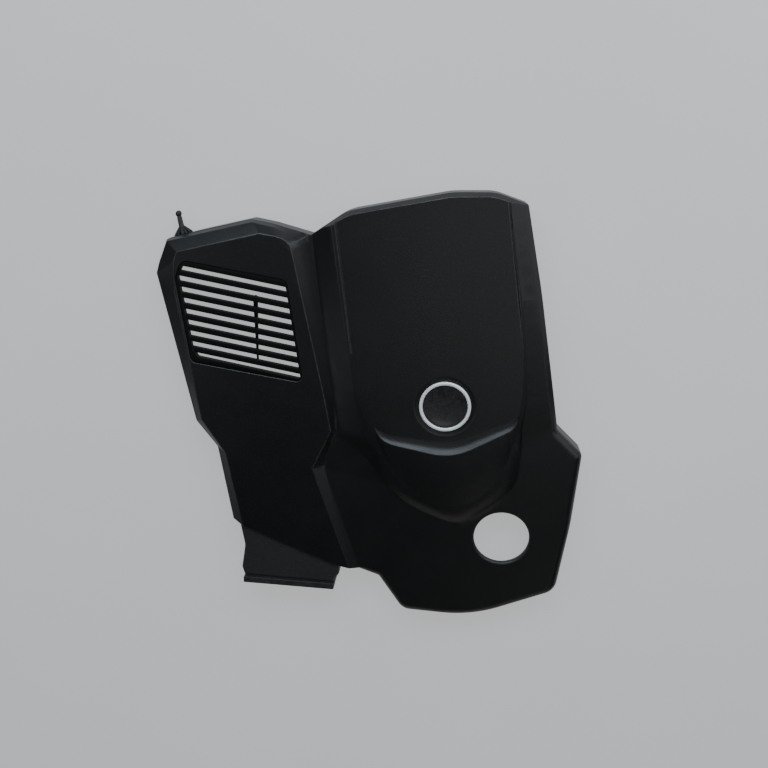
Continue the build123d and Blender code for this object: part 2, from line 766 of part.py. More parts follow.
def rubber_mount(x, y):
    """Ball mount: a plug with a flange under the socket and a blind bore for the engine's stud."""
    flange_top = MOUNT_FOOT_Z + MOUNT_FLANGE
    top = MOUNT_FOOT_Z + MOUNT_LENGTH
    flange = fillet(upright(MOUNT_FLANGE_R, MOUNT_FOOT_Z, flange_top).edges(), MOUNT_FLANGE * 0.3)
    body = upright(MOUNT_R, MOUNT_FOOT_Z, top)
    body = chamfer(body.edges().sort_by(Axis.Z)[-1], SOCKET_WALL * 0.6)
    mount = flange + body - upright(STUD_BORE_R, MOUNT_FOOT_Z, MOUNT_FOOT_Z + STUD_BORE_LENGTH)
    return Pos(x, y) * mount


def tail_plug():
    """Rubber plug in the rear skirt: barb inside, ribbed foot outside, tail with a ball tip."""
    inside = -WALL - FIT
    plug = upright(PLUG_BARB_R, inside - PLUG_BARB, inside) + upright(PLUG_NECK_R, inside, FIT)
    foot = Cone(PLUG_FOOT_R, PLUG_STEM_R, PLUG_FOOT_LENGTH, align=(Align.CENTER, Align.CENTER, Align.MIN))
    foot = Pos(0, 0, FIT) * foot
    gap = Box(PLUG_FOOT_R, PLUG_RIB_GAP, PLUG_FOOT_LENGTH, align=(Align.MIN, Align.CENTER, Align.MIN))
    for i in range(PLUG_RIBS):
        foot -= Rot(0, 0, i * 360.0 / PLUG_RIBS) * Pos(PLUG_FOOT_R * 0.55, 0, PLUG_RIB_GAP) * gap
    stem = upright(PLUG_STEM_R, FIT, PLUG_LENGTH - PLUG_BALL_R)
    ball = Pos(0, 0, PLUG_LENGTH - PLUG_BALL_R) * Sphere(PLUG_BALL_R)
    return plug_frame() * (plug + foot + stem + ball)


def all_pieces():
    """Every piece by name, where it sits on the cover as drawn from the badge's centre."""
    pieces = {
        "cover_shell": cover_shell(outer_form()),
        "vent_grille": vent_grille(),
        "grille_stay": grille_stay(),
        "air_duct": air_duct(),
        "duct_seal": duct_seal(),
        "duct_screws": duct_screws(),
        "badge_disc": badge_disc(),
        "badge_ring": badge_ring(),
        "tail_plug": tail_plug(),
    }
    for name, (x, y) in MOUNT_PLACES.items():
        pieces[name] = rubber_mount(x, y)
    return pieces


os.makedirs("parts", exist_ok=True)
drawn = all_pieces()
box = Compound(children=[copy.copy(piece) for piece in drawn.values()]).bounding_box()
to_frame = Pos(-(box.min.X + box.max.X) / 2, -(box.min.Y + box.max.Y) / 2, -box.min.Z)
for name, piece in drawn.items():
    placed = to_frame * piece
    export_step(placed, f"parts/{name}.step")
    print(name, round(placed.volume), len(placed.solids()), placed.is_valid)
shift = to_frame.position
print("drawing origin lies at", round(shift.X, 3), round(shift.Y, 3), round(shift.Z, 3))
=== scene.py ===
# %% [markdown]
# # An engine cover in black moulded plastic
# The cover lies face up on its rim, and the camera looks down on it from behind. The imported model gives
# every piece its place, so this lesson only dresses it: softer edges, finer repeats and real finishes.

# %% Load the frame
import math

import bmesh
import bpy
from mathutils import Matrix, Vector


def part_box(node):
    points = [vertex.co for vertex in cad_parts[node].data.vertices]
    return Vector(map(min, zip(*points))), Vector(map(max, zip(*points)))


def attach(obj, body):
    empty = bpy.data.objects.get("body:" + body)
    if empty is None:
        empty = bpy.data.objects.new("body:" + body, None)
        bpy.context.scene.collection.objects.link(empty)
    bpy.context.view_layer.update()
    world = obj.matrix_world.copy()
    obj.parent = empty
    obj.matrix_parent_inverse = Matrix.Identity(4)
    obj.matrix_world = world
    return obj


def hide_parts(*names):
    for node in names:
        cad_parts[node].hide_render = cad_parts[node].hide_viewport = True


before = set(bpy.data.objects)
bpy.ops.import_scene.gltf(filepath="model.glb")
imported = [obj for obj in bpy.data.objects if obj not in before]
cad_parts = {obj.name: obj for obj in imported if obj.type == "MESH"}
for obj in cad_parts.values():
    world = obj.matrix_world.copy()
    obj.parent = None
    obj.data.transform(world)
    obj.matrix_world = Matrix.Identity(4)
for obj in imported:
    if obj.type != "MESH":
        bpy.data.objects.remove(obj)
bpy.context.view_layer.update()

scene = bpy.context.scene

# %% [markdown]
# ## One place to measure from
# The cover was drawn in millimetres from the middle of its badge, with heights counted from the rim.
# A small function turns such a drawing point into the frame's metres, so the numbers below stay readable.

# %% Drawing points
MM = 0.001
FACE = 52.0
ring_low, ring_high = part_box("badge_ring")
badge_middle = (ring_low + ring_high) / 2


def at(x, y, z=0.0):
    """A drawing point, in millimetres from the badge's middle and the rim, as metres in the frame."""
    return Vector((badge_middle.x + x * MM, badge_middle.y + y * MM, z * MM))


print("badge middle at", [round(v, 4) for v in at(0, 0, FACE)])

# %% [markdown]
# ## The camera
# A camera can be aimed by a Track To constraint or by its own three axes. The axes are used here, because
# the view also leans a little sideways, and three unit vectors say that without any juggling of angles.

# %% Camera
LENS_MM, SENSOR_MM = 37.525, 36.0
EYE_X, EYE_Y, EYE_ABOVE_FACE = 57.98, 363.62, 1071.76
camera_data = bpy.data.cameras.new("portrait_camera")
camera_data.lens = LENS_MM
camera_data.sensor_width = SENSOR_MM
camera = bpy.data.objects.new("portrait_camera", camera_data)
to_the_right = Vector((0.98793, -0.12503, -0.0914))
to_the_top = Vector((0.09275, 0.95026, -0.29733))
to_the_eye = Vector((0.12402, 0.28527, 0.95039))
turn = Matrix((to_the_right, to_the_top, to_the_eye)).transposed().to_4x4()
camera.matrix_world = Matrix.Translation(at(EYE_X, EYE_Y, FACE + EYE_ABOVE_FACE)) @ turn
scene.collection.objects.link(camera)
scene.camera = camera
print("camera at", [round(v, 3) for v in camera.matrix_world.translation])

# %% [markdown]
# ## Node helpers
# Every finish is a small net of nodes. A few helpers keep the nets short: add a node and fill in its
# sockets, spread a value over a range, make noise, blend two colours. Patterns read Object coordinates,
# so they keep to the piece when it is moved or seen from another side.

# %% Node helpers
def add(tree, kind, links=(), **values):
    """A new node; values fill its fields or sockets, links are (from socket, to socket name or index)."""
    made = tree.nodes.new(kind)
    for key, value in values.items():
        if hasattr(made, key):
            setattr(made, key, value)
        else:
            made.inputs[key.replace("_", " ")].default_value = value
    for source, target in links:
        tree.links.new(source, made.inputs[target])
    return made


def ranged(tree, source, low, high, to_low=0.0, to_high=1.0):
    """The source's value from low to high, spread from to_low to to_high."""
    made = add(tree, "ShaderNodeMapRange", [(source, "Value")])
    for name, value in zip(("From Min", "From Max", "To Min", "To Max"), (low, high, to_low, to_high)):
        made.inputs[name].default_value = value
    return made.outputs["Result"]


def noise(tree, coords, size_mm, detail=3.0):
    """Soft noise with bumps about that many millimetres across."""
    made = add(tree, "ShaderNodeTexNoise", [(coords, "Vector")], Scale=1.0 / (size_mm * MM), Detail=detail)
    return made.outputs["Fac"]


def blended(tree, share, first, second):
    """A colour between two, each given as a colour or as another node's socket."""
    made = add(tree, "ShaderNodeMix", data_type="RGBA")
    tree.links.new(share, made.inputs[0])
    for value, index in ((first, 6), (second, 7)):
        if isinstance(value, bpy.types.NodeSocket):
            tree.links.new(value, made.inputs[index])
        else:
            made.inputs[index].default_value = (*value, 1.0)
    return made.outputs[2]


def times(tree, first, second):
    """Two values multiplied; the second may be a plain number."""
    made = add(tree, "ShaderNodeMath", [(first, 0)], operation="MULTIPLY")
    if isinstance(second, bpy.types.NodeSocket):
        tree.links.new(second, made.inputs[1])
    else:
        made.inputs[1].default_value = second
    return made.outputs[0]


def new_finish(name):
    """An empty finish with its node tree, its shader and its Object coordinates."""
    finish = bpy.data.materials.new(name)
    finish.use_nodes = True
    tree = finish.node_tree
    coords = add(tree, "ShaderNodeTexCoord").outputs["Object"]
    return finish, tree, tree.nodes["Principled BSDF"], coords


print("node helpers ready")

# %% [markdown]
# ## Grained black plastic
# The cover, its grille and its duct are moulded in black plastic with a fine grain that scatters the light.
# A flat black would look like a hole, so the finish has four layers: a slow drift in tone, where dust and
# handling dull it, tiny pale specks, a bump for the grain, and paler edges, which are partly wear and partly
# a painted highlight where light would catch the rounding. The paler edges read an attribute that a
# moulding gets on the narrow faces along its edges.

# %% Moulded plastic
DRIFT_MM, SHEEN_MM, SPECK_MM, SCRATCH_MM, RUB_MM = 90.0, 40.0, 1.5, 1.6, 7.0


def moulded_plastic(name, dark, dusty, rough, grain_mm, grain_deep_mm, wear_and_highlight_tone, shine=0.4, scuffs=()):
    """Grained plastic; scuffs are (point, reach in metres) where fine pale scratches gather."""
    finish, tree, shader, coords = new_finish(name)
    drift = noise(tree, coords, DRIFT_MM, detail=2.0)
    tone = blended(tree, ranged(tree, drift, 0.30, 0.75), dark, dusty)
    specks = ranged(tree, noise(tree, coords, SPECK_MM, detail=1.0), 0.58, 0.76, 0.0, 0.40)
    tone = blended(tree, specks, tone, wear_and_highlight_tone)
    for point, reach in scuffs:
        place = add(tree, "ShaderNodeVectorMath", [(coords, 0)], operation="DISTANCE")
        place.inputs[1].default_value = point
        near = ranged(tree, place.outputs["Value"], 0.0, reach, 1.0, 0.0)
        lines = add(tree, "ShaderNodeMapping", [(coords, "Vector")])
        lines.inputs["Rotation"].default_value = (0.0, 0.0, 0.5 + 9.0 * reach)
        lines.inputs["Scale"].default_value = (0.09, 1.0, 1.0)
        lines = noise(tree, lines.outputs["Vector"], SCRATCH_MM, detail=2.0)
        lines = times(tree, ranged(tree, lines, 0.62, 0.70), near)
        tone = blended(tree, times(tree, lines, 0.7), tone, wear_and_highlight_tone)
    # Paler edges: partly wear in patches, partly a painted highlight along every rounded edge.
    edge_wear_and_highlight = add(tree, "ShaderNodeAttribute", attribute_name="edge_wear_and_highlight").outputs["Fac"]
    edge_wear_and_highlight_patches = times(tree, edge_wear_and_highlight, ranged(tree, noise(tree, coords, RUB_MM, detail=5.0), 0.30, 0.65))
    tone = blended(tree, edge_wear_and_highlight_patches, tone, wear_and_highlight_tone)
    tree.links.new(tone, shader.inputs["Base Color"])
    sheen = noise(tree, coords, SHEEN_MM, detail=1.0)
    sheen = ranged(tree, sheen, 0.3, 0.7, rough - 0.01, rough + 0.02)
    tree.links.new(sheen, shader.inputs["Roughness"])
    grain = noise(tree, coords, grain_mm, detail=2.0)
    bump = add(tree, "ShaderNodeBump", [(grain, "Height")], Strength=0.6, Distance=grain_deep_mm * MM)
    tree.links.new(bump.outputs["Normal"], shader.inputs["Normal"])
    shader.inputs["Specular IOR Level"].default_value = shine
    return finish


SCUFFS = [(at(-10, 190, FACE), 0.022), (at(10, 170, FACE), 0.016), (at(5, 145, FACE), 0.02)]
cover_black = moulded_plastic(
    "cover_black", (0.0036, 0.0036, 0.0037), (0.0048, 0.0048, 0.0050), rough=0.39,
    grain_mm=1.5, grain_deep_mm=0.24, wear_and_highlight_tone=(0.020, 0.0205, 0.021), scuffs=SCUFFS)
# The grille and the stay get a darker black than the cover: painted shade for the recessed vent.
grille_shaded_black = moulded_plastic(
    "grille_shaded_black", (0.0020, 0.0020, 0.0019), (0.0032, 0.0031, 0.0029), rough=0.55,
    grain_mm=0.9, grain_deep_mm=0.05, wear_and_highlight_tone=(0.010, 0.010, 0.0095), shine=0.12)
stay_shaded_black = moulded_plastic(
    "stay_shaded_black", (0.0020, 0.0020, 0.0020), (0.0030, 0.0030, 0.0030), rough=0.55,
    grain_mm=0.9, grain_deep_mm=0.05, wear_and_highlight_tone=(0.010, 0.010, 0.0095), shine=0.12)
duct_black = moulded_plastic(
    "duct_black", (0.0145, 0.0145, 0.0143), (0.0190, 0.0190, 0.0188), rough=0.52,
    grain_mm=0.9, grain_deep_mm=0.10, wear_and_highlight_tone=(0.06, 0.06, 0.062))
print("plastics:", cover_black.name, grille_shaded_black.name, stay_shaded_black.name, duct_black.name)

# %% [markdown]
# ## Rubber, steel and the badge's finishes
# The seal, the mounts and the plug are rubber: dull, with a bloom of grey dust. The two screws are zinc
# plated. The badge is a plain dished disc in gloss black, inside a ring with a satin silver plating.

# %% Other finishes
def dull_rubber(name, dark, bloomed):
    """Dull rubber with a pale bloom in patches."""
    finish, tree, shader, coords = new_finish(name)
    bloom = ranged(tree, noise(tree, coords, 9.0, detail=6.0), 0.40, 0.72)
    tone = blended(tree, bloom, dark, bloomed)
    tree.links.new(tone, shader.inputs["Base Color"])
    tree.links.new(ranged(tree, bloom, 0.0, 1.0, 0.58, 0.78), shader.inputs["Roughness"])
    skin = noise(tree, coords, 0.4, detail=2.0)
    bump = add(tree, "ShaderNodeBump", [(skin, "Height")], Strength=0.4, Distance=0.05 * MM)
    tree.links.new(bump.outputs["Normal"], shader.inputs["Normal"])
    return finish


def plated(name, pale, dull, rough, metal, coat=0.0):
    """A plated or lacquered finish with faint handling marks in its gloss."""
    finish, tree, shader, coords = new_finish(name)
    marks = noise(tree, coords, 6.0, detail=6.0)
    tree.links.new(blended(tree, ranged(tree, marks, 0.35, 0.7), pale, dull), shader.inputs["Base Color"])
    tree.links.new(ranged(tree, marks, 0.3, 0.7, rough, rough + 0.09), shader.inputs["Roughness"])
    shader.inputs["Metallic"].default_value = metal
    shader.inputs["Coat Weight"].default_value = coat
    shader.inputs["Coat Roughness"].default_value = 0.06
    return finish


rubber = dull_rubber("rubber_black", (0.006, 0.006, 0.006), (0.017, 0.0168, 0.0162))
zinc = plated("zinc_plate", (0.46, 0.46, 0.45), (0.33, 0.33, 0.31), 0.30, 1.0)
badge_gloss = plated("badge_gloss", (0.008, 0.008, 0.009), (0.014, 0.014, 0.015), 0.22, 0.0, coat=0.5)
badge_satin = plated("badge_satin", (0.84, 0.85, 0.86), (0.76, 0.77, 0.78), 0.34, 0.35)
print("finishes:", rubber.name, zinc.name, badge_gloss.name, badge_satin.name)

# %% [markdown]
# ## From a solid to a moulding
# No moulded edge is razor sharp. Edges can be rounded in the drawing, by a Bevel modifier or in the shader.
# The modifier is chosen: it works on a copy of the solid whose loose triangles have been merged first, and
# the real little faces catch the light from every side. Those narrow faces are then marked for a paler tone,
# partly wear and partly a painted highlight, and the marks stay off the broad faces beside them.

# %% Rounding helpers
ROUND_FROM_DEG, ROUND_TO_DEG, LEAST_UPWARD = 22.0, 135.0, 0.25
FULL_EDGE_MARK_BEND = 0.25
MERGE_MM = 0.03


def keep(name, mesh, finish):
    """A finished mesh as a piece that rides on the root body."""
    piece = bpy.data.objects.new(name, mesh)
    scene.collection.objects.link(piece)
    piece.data.materials.clear()
    piece.data.materials.append(finish)
    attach(piece, "root")
    return piece


def applied(piece):
    """The piece's mesh with its modifiers worked in, as plain data."""
    graph = bpy.context.evaluated_depsgraph_get()
    return bpy.data.meshes.new_from_object(piece.evaluated_get(graph), depsgraph=graph)


def shaded(mesh, sharp_deg):
    """Shade the mesh smooth, except across edges that bend more than the angle."""
    mesh.shade_smooth()
    mesh.set_sharp_from_angle(angle=math.radians(sharp_deg))


def choose_edges(mesh, lowest_z):
    """Weight the outer edges that a mould would round: convex, not too flat, and on the upper side."""
    work = bmesh.new()
    work.from_mesh(mesh)
    weight = work.edges.layers.float.new("bevel_weight_edge")
    for edge in work.edges:
        bend = math.degrees(edge.calc_face_angle_signed(0.0)) if edge.is_manifold else 0.0
        facing = sum((f.normal for f in edge.link_faces), Vector()).normalized()
        height = (edge.verts[0].co.z + edge.verts[1].co.z) / 2
        upward = facing.z > LEAST_UPWARD and height > lowest_z
        if upward and ROUND_FROM_DEG < bend < ROUND_TO_DEG:
            edge[weight] = 1.0
    work.to_mesh(mesh)
    work.free()


def rounded(mesh, radius_mm, lowest_z=-1.0):
    """A copy of the mesh with its chosen edges rounded and its flat faces shaded flat."""
    choose_edges(mesh, lowest_z)
    shaded(mesh, 17.0)
    trial = bpy.data.objects.new("trial", mesh)
    scene.collection.objects.link(trial)
    bevel = trial.modifiers.new("round", "BEVEL")
    bevel.limit_method = "WEIGHT"
    bevel.width = radius_mm * MM
    bevel.segments = 2
    bevel.use_clamp_overlap = False
    bevel.loop_slide = False
    flat = trial.modifiers.new("flat", "WEIGHTED_NORMAL")
    flat.keep_sharp = True
    result = applied(trial)
    bpy.data.objects.remove(trial)
    return result


def mark_edge_wear_and_highlight(mesh, narrow_mm=1.6):
    """Write how sharply each narrow edge face stands out, from 0 to 1, as the edge attribute for paler edges:
    wear and painted highlight.
    """
    work = bmesh.new()
    work.from_mesh(mesh)
    values = []
    for face in work.faces:
        longest = sorted(face.edges, key=lambda e: e.calc_length())[-2:]
        bend = min(e.calc_face_angle_signed(0.0) if e.is_manifold else 0.0 for e in longest)
        narrow = face.calc_area() < longest[-1].calc_length() * narrow_mm * MM
        edge_mark_share = min(1.0, max(0.0, bend) / FULL_EDGE_MARK_BEND) if narrow else 0.0
        values += [edge_mark_share] * len(face.loops)
    work.free()
    mesh.attributes.new("edge_wear_and_highlight", "FLOAT", "CORNER").data.foreach_set("value", values)


def merged(node):
    """A copy of a solid's mesh with its loose triangles joined."""
    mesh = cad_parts[node].data.copy()
    work = bmesh.new()
    work.from_mesh(mesh)
    bmesh.ops.remove_doubles(work, verts=work.verts, dist=MERGE_MM * MM)
    bmesh.ops.dissolve_degenerate(work, edges=work.edges, dist=MERGE_MM * MM)
    work.to_mesh(mesh)
    work.free()
    return mesh


def moulding(node, name, finish, slot, radius_mm, **options):
    """A rounded copy of one solid with paler edges, partly wear and partly painted highlight, standing in for
    it.
    """
    mesh = rounded(merged(node), radius_mm, **options)
    mark_edge_wear_and_highlight(mesh)
    piece = keep(name, mesh, finish)
    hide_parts(node)
    print(name, "has", len(mesh.polygons), "faces")


print("rounding helpers ready")

# %% [markdown]
# ## The shell, the duct, the stay and the seal
# The shell is one large moulding: a vent on the left, a raised panel with a chin on the right, and a
# thin skirt down to the rim. The duct hangs under its front edge with a rubber seal round its mouth, and a
# slim stay crosses the vent's back. All four have their right shape as solids, so each is a rounded copy.

# %% Main mouldings
moulding("cover_shell", "cover_moulding", cover_black, "cover_plastic", 0.9, lowest_z=0.02)
moulding("air_duct", "duct_moulding", duct_black, "duct_plastic", 0.7)
moulding("grille_stay", "stay_moulding", stay_shaded_black, "stay_plastic", 0.5)
moulding("duct_seal", "seal_moulding", rubber, "black_rubber", 0.4)

# %% [markdown]
# ## Trees for what repeats
# Slats, ribs, mounts and screws are one shape set down again and again. Copies could be made in a loop, but
# a Geometry Nodes tree keeps the count and the sizes as named inputs. Each tree ends in Realize Instances
# and Set Material, and its result becomes a plain mesh before the piece joins the frame.

# %% Tree helpers
def new_tree(name, sockets):
    """An empty geometry tree with a geometry output and named inputs, and the inputs' identifiers."""
    tree = bpy.data.node_groups.new(name, "GeometryNodeTree")
    tree.interface.new_socket("Geometry", in_out="OUTPUT", socket_type="NodeSocketGeometry")
    tree.interface.new_socket("Geometry", in_out="INPUT", socket_type="NodeSocketGeometry")
    names = {}
    for label, kind in sockets:
        made = tree.interface.new_socket(label, in_out="INPUT", socket_type="NodeSocket" + kind)
        names[label] = made.identifier
    return tree, add(tree, "NodeGroupInput").outputs, names


def close_tree(tree, instances, finish):
    """Make the instances real, give them their finish and send them out."""
    real = add(tree, "GeometryNodeRealizeInstances", [(instances, "Geometry")])
    dressed = add(tree, "GeometryNodeSetMaterial", [(real.outputs[0], "Geometry"), (finish, "Material")])
    add(tree, "NodeGroupOutput", [(dressed.outputs[0], 0)])


def grown(tree, names, mesh, **values):
    """The mesh that the tree makes from a mesh and these inputs, underscores standing for spaces."""
    host = bpy.data.objects.new("host", mesh)
    scene.collection.objects.link(host)
    modifier = host.modifiers.new("grow", "NODES")
    modifier.node_group = tree
    for label, value in values.items():
        modifier[names[label.replace("_", " ")]] = value
    result = applied(host)
    bpy.data.objects.remove(host)
    return result


def point_mesh(places):
    """A mesh of loose points."""
    mesh = bpy.data.meshes.new("points")
    mesh.from_pydata(places, [], [])
    return mesh


def joined(name, *meshes):
    """Several meshes as one."""
    work = bmesh.new()
    for mesh in meshes:
        work.from_mesh(mesh)
    result = bpy.data.meshes.new(name)
    work.to_mesh(result)
    work.free()
    return result


print("tree helpers ready")

# %% [markdown]
# ## Turned pieces
# Mounts, screws, the plug and the badge are round. Blender has a Screw modifier and a spin operator for such
# shapes; here a short function sets the profile's points in rings, which leaves no seam to close afterwards.

# %% Turning helpers
def turned(name, profile, steps=64):
    """A solid turned about Z from (radius, height) points in millimetres, from axis to axis."""
    work = bmesh.new()
    rings = []
    for radius, height in profile:
        count = 1 if radius == 0.0 else steps
        spots = [2.0 * math.pi * i / steps for i in range(count)]
        ring = [(radius * MM * math.cos(t), radius * MM * math.sin(t), height * MM) for t in spots]
        rings.append([work.verts.new(spot) for spot in ring])
    for near, far in zip(rings, rings[1:]):
        for i in range(steps):
            j = (i + 1) % steps
            corners = [near[i % len(near)], near[j % len(near)], far[j % len(far)], far[i % len(far)]]
            work.faces.new(list(dict.fromkeys(corners)))
    bmesh.ops.recalc_face_normals(work, faces=work.faces)
    mesh = bpy.data.meshes.new(name)
    work.to_mesh(mesh)
    work.free()
    shaded(mesh, 32.0)
    return mesh


def placed(mesh, spot, turn=Matrix.Identity(4)):
    """The same mesh moved to a spot in the frame."""
    mesh.transform(Matrix.Translation(spot) @ turn)
    return mesh


print("turning helpers ready")

# %% [markdown]
# ## The slatted grille
# The vent is a frame with slanted slats, snapped into the shell's window. The frame is a filled outline
# with a hole, pulled down to its depth. The slats are one rounded bar, set down along a line by a tree.

# %% Grille frame
WINDOW = [(-339.2, 246.2, 12), (-196.8, 202.2, 9), (-196.8, 54.9, 9), (-353.2, 101.7, 9), (-353.2, 221.4, 14)]
SLOT_AREA = [(-339.5, 238.2, 2), (-200, 192.9, 2), (-200, 60.5, 2)]
SLOT_AREA += [(-343, 108, 2), (-348.5, 121, 2), (-348.5, 226, 2)]
LIP = [(-340.3, 249.6, 12), (-193.6, 204.5, 9), (-193.6, 50.8, 9), (-356.4, 99.3, 9), (-356.4, 222.3, 14)]
GRILLE_TOP, GRILLE_DEPTH = 50.5, 8.0
LIP_LOW, LIP_HIGH = 46.2, 48.7


def soft_corners(corners, steps=6):
    """Points along a closed run of (x, y, radius) corners."""
    points = []
    for i, (x, y, radius) in enumerate(corners):
        corner = Vector((x, y))
        back = (Vector(corners[i - 1][:2]) - corner).normalized()
        ahead = (Vector(corners[(i + 1) % len(corners)][:2]) - corner).normalized()
        half = back.angle(ahead) / 2
        middle = corner + (back + ahead).normalized() * (radius / math.sin(half))
        first = corner + back * (radius / math.tan(half)) - middle
        last = corner + ahead * (radius / math.tan(half)) - middle
        for k in range(steps + 1):
            points.append(middle + first.slerp(last, k / steps) * radius)
    return points


def plate(name, outlines, low, high, edge):
    """A flat plate between two heights: the first outline filled, the second its hole, soft upper edges."""
    work = bmesh.new()
    runs = []
    for outline in outlines:
        loop = [work.verts.new(at(p.x, p.y, high)) for p in soft_corners(outline)]
        runs += [work.edges.new(pair) for pair in zip(loop, loop[1:] + loop[:1])]
    bmesh.ops.triangle_fill(work, use_beauty=True, edges=runs)
    skin = bmesh.ops.extrude_face_region(work, geom=work.faces[:], use_keep_orig=True)["geom"]
    lower = [v for v in skin if isinstance(v, bmesh.types.BMVert)]
    bmesh.ops.translate(work, vec=(0, 0, (low - high) * MM), verts=lower)
    bmesh.ops.recalc_face_normals(work, faces=work.faces)
    mesh = bpy.data.meshes.new(name)
    work.to_mesh(mesh)
    work.free()
    return rounded(mesh, edge)


frame_plate = plate("frame_plate", [WINDOW, SLOT_AREA], GRILLE_TOP - GRILLE_DEPTH, GRILLE_TOP, 0.6)
lip_plate = plate("lip_plate", [LIP, WINDOW], LIP_LOW, LIP_HIGH, 0.4)
print("grille frame of", len(frame_plate.polygons), "faces")

# %% Grille slats
slat_sizes = [("Count", "Int"), ("Pitch", "Float"), ("Slope", "Float"), ("Length", "Float")]
slat_sizes += [("Width", "Float"), ("Depth", "Float"), ("Edge", "Float"), ("Finish", "Material")]
slat_tree, given, slat_names = new_tree("slat_row", slat_sizes)
step = add(slat_tree, "ShaderNodeMath", [(given["Pitch"], 0)], operation="MULTIPLY")
step.inputs[1].default_value = -1.0
step = add(slat_tree, "ShaderNodeCombineXYZ", [(step.outputs[0], "Y")])
row = add(slat_tree, "GeometryNodeMeshLine", [(given["Count"], "Count"), (step.outputs[0], "Offset")])
reach = add(slat_tree, "ShaderNodeCombineXYZ", [(given["Length"], "X")])
bar = add(slat_tree, "GeometryNodeCurvePrimitiveLine", [(reach.outputs[0], "End")])
section = add(
    slat_tree, "GeometryNodeCurvePrimitiveQuadrilateral",
    [(given["Depth"], "Width"), (given["Width"], "Height")])
section = add(
    slat_tree, "GeometryNodeFilletCurve", [(section.outputs[0], "Curve"), (given["Edge"], "Radius")],
    mode="POLY", Count=3)
bar = add(
    slat_tree, "GeometryNodeCurveToMesh", [(bar.outputs[0], "Curve"), (section.outputs[0], "Profile Curve")],
    Fill_Caps=True)
lean = add(slat_tree, "ShaderNodeCombineXYZ", [(given["Slope"], "Z")])
slats = add(
    slat_tree, "GeometryNodeInstanceOnPoints",
    [(row.outputs[0], "Points"), (bar.outputs[0], "Instance"), (lean.outputs[0], "Rotation")])
close_tree(slat_tree, slats.outputs[0], given["Finish"])

SLOPE = math.radians(-18.0)
SLAT_COUNT, SLAT_PITCH = 8, 15.75
SLAT_LENGTH, SLAT_WIDTH, SLAT_EDGE, SLAT_SINK = 161.0, 7.0, 0.8, 0.2
SLAT_LEFT, SLAT_RIGHT, SLAT_RIGHT_Y = -351.0, -199.0, 181.5
rise = (SLAT_RIGHT - SLAT_LEFT) * math.tan(-SLOPE)
first_slat = at(SLAT_LEFT, SLAT_RIGHT_Y + rise, GRILLE_TOP - GRILLE_DEPTH / 2 - SLAT_SINK / 2)
slat_mesh = grown(
    slat_tree, slat_names, point_mesh([]), Count=SLAT_COUNT, Pitch=SLAT_PITCH * MM, Slope=SLOPE,
    Length=SLAT_LENGTH * MM, Width=SLAT_WIDTH * MM, Depth=(GRILLE_DEPTH - SLAT_SINK) * MM,
    Edge=SLAT_EDGE * MM, Finish=grille_shaded_black)
placed(slat_mesh, first_slat)
grille_mesh = joined("grille_moulding", frame_plate, lip_plate, slat_mesh)
shaded(grille_mesh, 35.0)
mark_edge_wear_and_highlight(grille_mesh)
grille = keep("grille_moulding", grille_mesh, grille_shaded_black)
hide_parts("vent_grille")
print("slats:", SLAT_COUNT, "in", [round(v / MM, 1) for v in grille.dimensions], "mm")

# %% [markdown]
# ## Mounts and screws
# Four rubber mounts push onto studs of the engine, and two screws hold the duct. Both are set down by one
# tree that takes a turned piece and a few points, so that every copy is the same.

# %% Pieces at points
point_sizes = [("Piece", "Object"), ("Finish", "Material")]
point_tree, given, point_names = new_tree("pieces_at_points", point_sizes)
source = add(point_tree, "GeometryNodeObjectInfo", [(given["Piece"], "Object")])
copies = add(
    point_tree, "GeometryNodeInstanceOnPoints",
    [(given["Geometry"], "Points"), (source.outputs["Geometry"], "Instance")])
close_tree(point_tree, copies.outputs[0], given["Finish"])


def set_down(name, mesh, places, finish, nodes):
    """Copies of a mesh at places, as one piece that stands in for the nodes."""
    model = bpy.data.objects.new(name + "_model", mesh)
    scene.collection.objects.link(model)
    result = grown(point_tree, point_names, point_mesh(places), Piece=model, Finish=finish)
    bpy.data.objects.remove(model)
    piece = keep(name, result, finish)
    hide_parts(*nodes)
    print(name, "set down", len(places), "times")


MOUNTS = {"rear_left": (-290, 30), "rear_right": (70, 236)}
MOUNTS |= {"front_left": (-300, -95), "front_right": (-50, -285)}
MOUNT_PROFILE = [(0, 17), (4.6, 17), (5, 16.6), (5, 4.5), (5.4, 4.05), (13.6, 4), (14.3, 4.3), (14.5, 4.9)]
MOUNT_PROFILE += [(14.5, 6.2), (14.2, 6.8), (13.5, 7), (11.2, 7), (11, 7.3), (11, 22.4), (10.8, 22.8)]
MOUNT_PROFILE += [(9.6, 24), (0, 24)]
set_down(
    "rubber_mounts", turned("mount", MOUNT_PROFILE), [at(x, y) for x, y in MOUNTS.values()],
    rubber, ["mount_" + corner for corner in MOUNTS])

screw_low, screw_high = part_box("duct_screws")
HEAD_R = 4.5
SCREW_PROFILE = [(0, 3.5), (1.5, 3.5), (1.6, 1.95), (2.6, 2.0), (3.6, 2.4), (4.3, 3.3), (HEAD_R, 4.2)]
SCREW_PROFILE += [(HEAD_R, 4.85), (4.4, 4.95), (1.95, 4.95)]
SCREW_PROFILE += [(1.95 - 0.25 * (k % 2), 5.6 + 0.7 * k) for k in range(17)] + [(0.8, 17.6), (0, 17.7)]
screw_spots = [(screw_low.x + HEAD_R * MM, screw_high.y - HEAD_R * MM)]
screw_spots += [(screw_high.x - HEAD_R * MM, screw_low.y + HEAD_R * MM)]
set_down(
    "duct_screw_pair", turned("screw", SCREW_PROFILE, 24), [Vector((x, y, 0)) for x, y in screw_spots],
    zinc, ["duct_screws"])

# %% [markdown]
# ## The badge
# A plain dished disc and a plain ring, both turned. The ring's crown is rounded so that it draws one clean
# line of light, and the disc has three pins behind it that find their holes in the skin.

